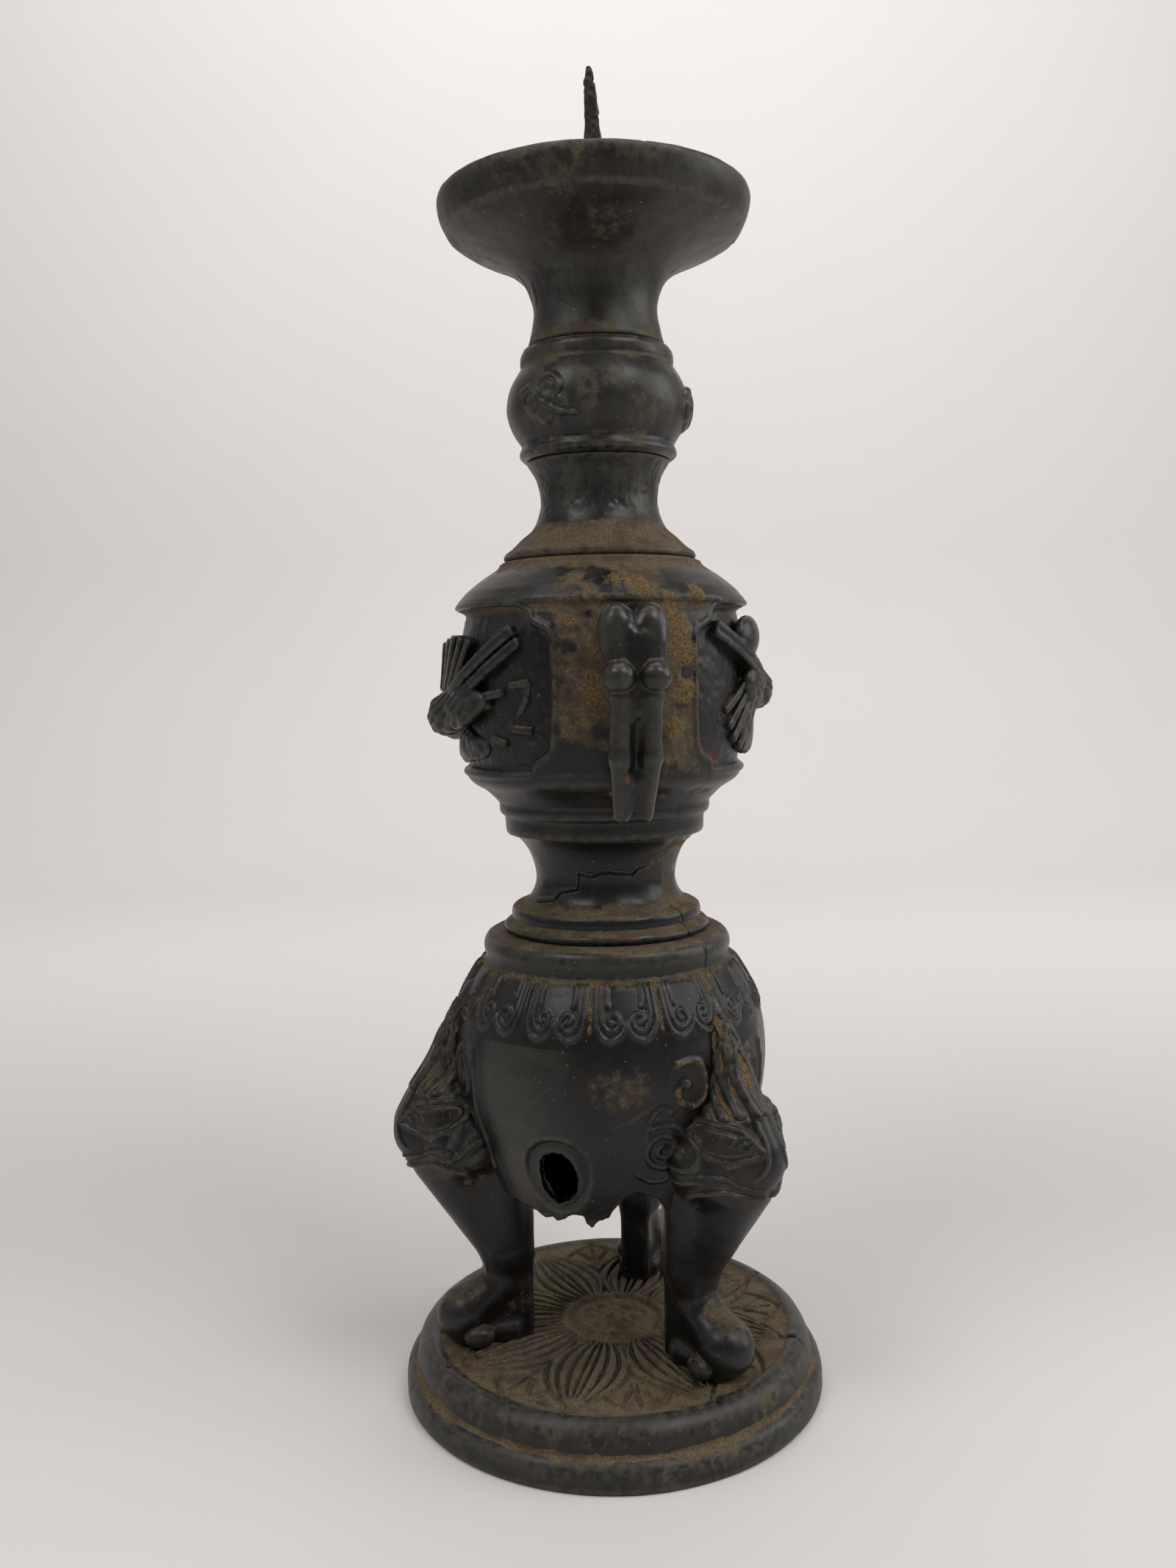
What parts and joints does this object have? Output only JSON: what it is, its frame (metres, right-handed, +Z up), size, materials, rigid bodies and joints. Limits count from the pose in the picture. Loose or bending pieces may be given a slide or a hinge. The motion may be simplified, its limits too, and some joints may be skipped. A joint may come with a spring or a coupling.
{
  "type": "altar candlestick",
  "caption": "Cast bronze altar candlestick: tripod on a lotus plate, vase with ear handles, knop, and a drip pan with an iron pricket.",
  "frame": {"origin": "centre of the base plate's underside, on the surface the candlestick stands on", "axes": "+Z up along the stem; -Y towards the single front leg; +X and -X towards the two ear handles"},
  "size_m": [0.0852, 0.0866, 0.26],
  "materials": {
    "plate_bronze": "dusty brown patina over worn dark metal",
    "rivet_bronze": "dull dark patina",
    "tripod_bronze": "semi-gloss black-brown patina with brown dirt in the hollows",
    "pedestal_bronze": "semi-gloss black-brown patina, dusty ring tops",
    "vase_bronze": "black-brown patina with ochre patches",
    "plug_bronze": "dull black",
    "relief_bronze": "dark patina, ochre dirt in the hollows",
    "handle_bronze": "polished by handling, dark grey-brown",
    "neck_bronze": "dark patina, dusty flare",
    "knop_bronze": "semi-gloss dark patina",
    "pan_bronze": "satin dark patina with darker drip marks",
    "pricket_iron": "rusted, matte"
  },
  "bodies": {
    "stand": {"base_plate": "plate_bronze", "leg_rivets": "rivet_bronze", "tripod_body": "tripod_bronze", "pedestal": "pedestal_bronze", "vase_body": "vase_bronze", "chaplet_plug": "plug_bronze", "front_panel_relief": "relief_bronze", "back_panel_relief": "relief_bronze", "right_handle": "handle_bronze", "left_handle": "handle_bronze"},
    "upper_stem": {"neck_cap": "neck_bronze", "knop": "knop_bronze", "drip_pan": "pan_bronze", "pricket": "pricket_iron"}
  },
  "joints": [
    {"name": "upper_stem_lift", "type": "slide", "parent": "stand", "child": "upper_stem", "axis": [0, 0, 1], "range_m": [0, 0.012]}
  ]
}
